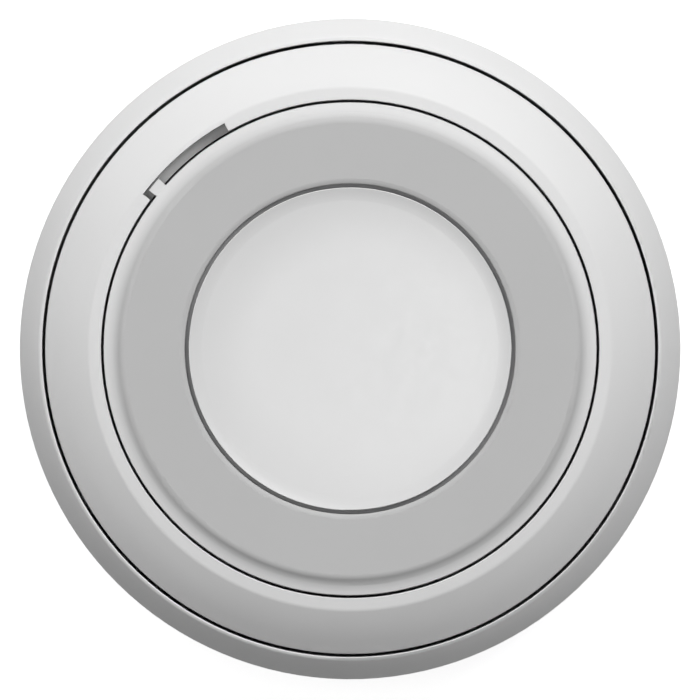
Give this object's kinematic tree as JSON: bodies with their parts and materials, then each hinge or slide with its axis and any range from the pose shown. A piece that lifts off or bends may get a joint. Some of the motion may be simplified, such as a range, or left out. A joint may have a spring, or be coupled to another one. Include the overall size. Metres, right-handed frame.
{
  "type": "panic button",
  "caption": "Round wireless panic button: a dished press cap inside a grey light ring and a white twist ring, in a pod that lifts out of a low round holder with a wide sloping front ring.",
  "frame": {"origin": "centre of the back face, on the axis of the press cap", "axes": "+Z out of the face along the press direction reversed, +Y towards the top as it hangs on a wall"},
  "size_m": [0.064, 0.064, 0.0202],
  "materials": {
    "shell_white": "fine satin moulded plastic",
    "ring_white": "fine satin moulded plastic",
    "cap_white": "fine satin moulded plastic",
    "light_grey": "fine satin, slightly translucent plastic",
    "pod_white": "moulded plastic with a light spark texture",
    "carrier_grey": "plain moulded plastic",
    "frame_black": "plain moulded plastic",
    "guide_clear": "frosted clear plastic",
    "foam_grey": "closed-cell foam with an adhesive face",
    "board_green": "solder mask",
    "switch_black": "moulded housing",
    "plunger_grey": "moulded plastic",
    "lamp_white": "lamp body",
    "can_steel": "tinned steel can",
    "aerial_brass": "gilt wire",
    "buzzer_black": "moulded housing",
    "chip_black": "chip package",
    "chip_brown": "ceramic",
    "cell_steel": "stainless steel can",
    "contact_nickel": "nickel-plated strip",
    "screw_steel": "zinc-plated",
    "spring_steel": "spring wire"
  },
  "bodies": {
    "base": {"holder": "shell_white", "adhesive_pad": "foam_grey", "front_ring": "shell_white", "ring_screws": "screw_steel"},
    "pod": {"pod_tub": "pod_white", "pod_screws": "screw_steel", "pod_frame": "frame_black", "light_guide": "guide_clear", "circuit_board": "board_green", "push_switch": "switch_black", "lamps": "lamp_white", "radio_module": "can_steel", "aerial": "aerial_brass", "buzzer": "buzzer_black", "control_chip": "chip_black", "small_chips": "chip_brown", "coin_cell": "cell_steel", "cell_cradle": "frame_black", "cell_strap": "contact_nickel", "cell_contact": "contact_nickel"},
    "lock": {"twist_ring": "ring_white", "light_ring": "light_grey"},
    "button": {"press_cap": "cap_white", "button_carrier": "carrier_grey", "return_spring": "spring_steel"},
    "plunger": {"switch_plunger": "plunger_grey"}
  },
  "joints": [
    {"name": "pod_lift", "type": "slide", "parent": "base", "child": "pod", "axis": [0, 0, 1], "range_m": [0, 0.025]},
    {"name": "ring_twist", "type": "hinge", "parent": "pod", "child": "lock", "pos_m": [0, 0, 0.0145], "axis": [0, 0, 1], "range_deg": [-17.7, 0]},
    {"name": "button_press", "type": "slide", "parent": "pod", "child": "button", "axis": [0, 0, 1], "range_m": [-0.0008, 0], "stiffness_N_per_m": 1500, "springref_m": 0.0006, "deforming": ["return_spring"]},
    {"name": "switch_travel", "type": "slide", "parent": "pod", "child": "plunger", "axis": [0, 0, 1], "range_m": [-0.0002, 0]}
  ],
  "couplings": [
    {"joint": "switch_travel", "follows": "button_press", "ratio": 0.25}
  ]
}
